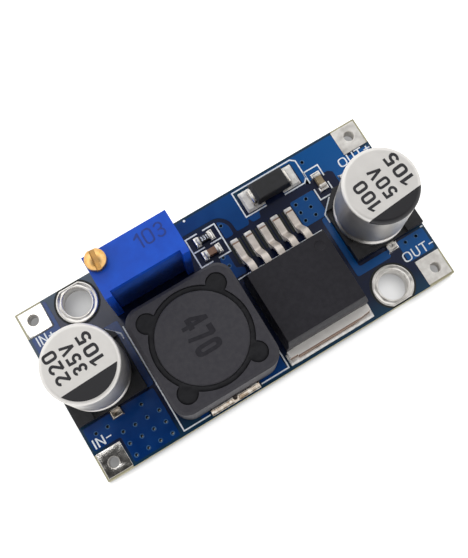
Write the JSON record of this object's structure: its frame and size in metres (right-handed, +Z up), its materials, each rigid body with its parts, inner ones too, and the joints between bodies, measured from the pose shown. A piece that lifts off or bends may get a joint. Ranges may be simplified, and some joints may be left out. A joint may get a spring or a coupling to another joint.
{
  "type": "step-up converter module",
  "caption": "Step-up converter circuit module: blue board with electrolytic capacitors, shielded inductor, tab regulator, diode and multi-turn trimmer, with screw holes and wire pads.",
  "frame": {"origin": "under the middle of the board, in the plane of the trimmer's pin tips", "axes": "+X from the input end to the output end, +Y to the plus side of the board, +Z up out of the part side"},
  "size_m": [0.043, 0.0204, 0.0141],
  "materials": {
    "masked_laminate": "glossy blue mask on glass laminate",
    "tinned_copper": "levelled tin, slightly bumpy",
    "solder": "smooth reflowed solder",
    "tinned_strip": "satin tin plate on copper",
    "can_aluminium": "drawn satin aluminium",
    "black_moulding": "moulded, matt",
    "ferrite": "pressed and sintered, matt",
    "copper_wire": "enamelled copper",
    "dark_adhesive": "cured, dull",
    "charcoal_epoxy": "moulded with a fine eroded grain",
    "black_epoxy": "moulded, half gloss",
    "blue_moulding": "moulded, satin",
    "blue_potting": "cast, smooth",
    "brass_screw": "turned",
    "seal_rubber": "moulded",
    "wheel_plastic": "moulded",
    "wiper_spring": "stamped spring strip",
    "white_ceramic": "fired",
    "black_glaze": "glazed",
    "brown_ceramic": "fired",
    "tan_ceramic": "fired",
    "chip_metal": "tin plate"
  },
  "bodies": {
    "module": {"board": "masked_laminate", "in_plus_terminal": "tinned_copper", "in_minus_terminal": "tinned_copper", "out_plus_terminal": "tinned_copper", "out_minus_terminal": "tinned_copper", "input_mounting_ring": "tinned_copper", "output_mounting_ring": "tinned_copper", "input_cap_can": "can_aluminium", "input_cap_base": "black_moulding", "input_cap_plus_lead": "tinned_strip", "input_cap_minus_lead": "tinned_strip", "output_cap_can": "can_aluminium", "output_cap_base": "black_moulding", "output_cap_plus_lead": "tinned_strip", "output_cap_minus_lead": "tinned_strip", "inductor_base": "black_moulding", "inductor_shield": "ferrite", "inductor_drum": "ferrite", "inductor_winding": "copper_wire", "inductor_adhesive": "dark_adhesive", "inductor_front_clip": "tinned_strip", "inductor_rear_clip": "tinned_strip", "regulator_body": "charcoal_epoxy", "regulator_tab": "tinned_strip", "regulator_lead_1": "tinned_strip", "regulator_lead_2": "tinned_strip", "regulator_lead_4": "tinned_strip", "regulator_lead_5": "tinned_strip", "diode_body": "black_epoxy", "diode_left_lead": "tinned_strip", "diode_right_lead": "tinned_strip", "trimmer_housing": "blue_moulding", "trimmer_seal": "seal_rubber", "trimmer_element": "white_ceramic", "trimmer_potting": "blue_potting", "trimmer_pin_1": "tinned_strip", "trimmer_pin_2": "tinned_strip", "trimmer_pin_3": "tinned_strip", "resistor_body": "black_glaze", "resistor_ends": "chip_metal", "chip_cap_body": "brown_ceramic", "chip_cap_ends": "chip_metal", "output_chip_cap_body": "tan_ceramic", "output_chip_cap_ends": "chip_metal", "input_cap_solder": "solder", "output_cap_solder": "solder", "inductor_solder": "solder", "regulator_solder": "solder", "diode_solder": "solder", "trimmer_solder": "solder", "resistor_solder": "solder", "chip_cap_solder": "solder", "output_chip_cap_solder": "solder"},
    "adjusting_screw": {"trimmer_screw": "brass_screw"},
    "wiper_drive": {"trimmer_worm_wheel": "wheel_plastic", "trimmer_wiper": "wiper_spring"}
  },
  "joints": [
    {"name": "screw_turn", "type": "hinge", "parent": "module", "child": "adjusting_screw", "pos_m": [-0.01085, 0.00818, 0.01263], "axis": [0, 0, 1], "range_deg": [-4500, 4500]},
    {"name": "wiper_turn", "type": "hinge", "parent": "module", "child": "wiper_drive", "pos_m": [-0.00724, 0.00818, 0.007], "axis": [0, 1, 0], "range_deg": [-141, 141]}
  ],
  "couplings": [
    {"joint": "wiper_turn", "follows": "screw_turn", "ratio": -0.03125}
  ]
}
